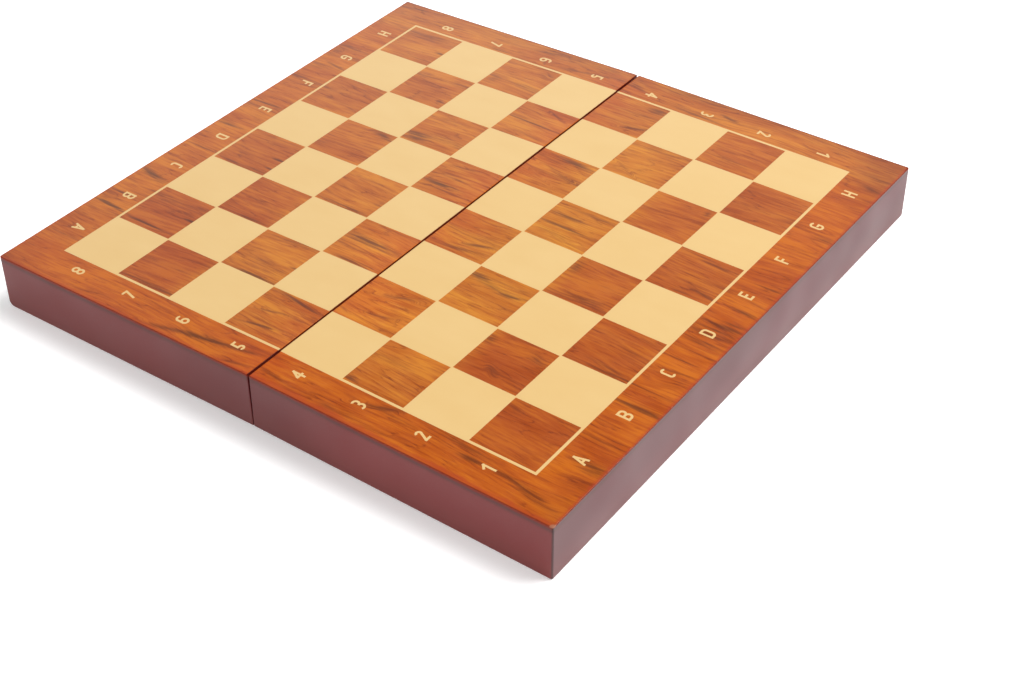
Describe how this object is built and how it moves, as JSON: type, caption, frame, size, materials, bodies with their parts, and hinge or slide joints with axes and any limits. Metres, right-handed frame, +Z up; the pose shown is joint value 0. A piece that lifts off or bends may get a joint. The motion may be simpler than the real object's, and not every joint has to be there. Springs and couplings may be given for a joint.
{
  "type": "folding chess board",
  "caption": "Folding chess board of two shallow hinged trays that close into a case for the men, with lettered and numbered borders.",
  "frame": {"origin": "middle of the open board's footprint, on the table it rests on", "axes": "+Z up, +Y along the seam from file A to file H, +X across the seam towards rank 1"},
  "size_m": [0.292, 0.288, 0.028],
  "materials": {
    "lacquered_rails": "satin mahogany lacquer on wood and fibreboard",
    "wood_print": "satin printed sheet with a streaked wood figure",
    "light_print": "satin cream print",
    "nickel": "nickel-plated disc",
    "brass_screws": "plain brass",
    "brass": "pressed and rolled brass"
  },
  "bodies": {
    "first_half": {"first_half_panel": "lacquered_rails", "first_half_outer_rail": "lacquered_rails", "first_half_hinge_rail": "lacquered_rails", "first_half_a_side_rail": "lacquered_rails", "first_half_h_side_rail": "lacquered_rails", "first_half_print_sheet": "wood_print", "first_half_light_print": "light_print", "first_half_file_letters": "light_print", "first_half_rank_numbers": "light_print", "first_half_magnets": "nickel", "first_half_hinge_screws": "brass_screws", "first_half_a_hinge_leaf": "brass", "first_half_h_hinge_leaf": "brass", "a_hinge_pin": "brass", "h_hinge_pin": "brass"},
    "second_half": {"second_half_panel": "lacquered_rails", "second_half_outer_rail": "lacquered_rails", "second_half_hinge_rail": "lacquered_rails", "second_half_a_side_rail": "lacquered_rails", "second_half_h_side_rail": "lacquered_rails", "second_half_print_sheet": "wood_print", "second_half_light_print": "light_print", "second_half_file_letters": "light_print", "second_half_rank_numbers": "light_print", "second_half_magnets": "nickel", "second_half_hinge_screws": "brass_screws", "second_half_a_hinge_leaf": "brass", "second_half_h_hinge_leaf": "brass"}
  },
  "joints": [
    {"name": "fold", "type": "hinge", "parent": "first_half", "child": "second_half", "pos_m": [0, 0, 0.00135], "axis": [0, -1, 0], "range_deg": [-1.2, 178.8]}
  ]
}
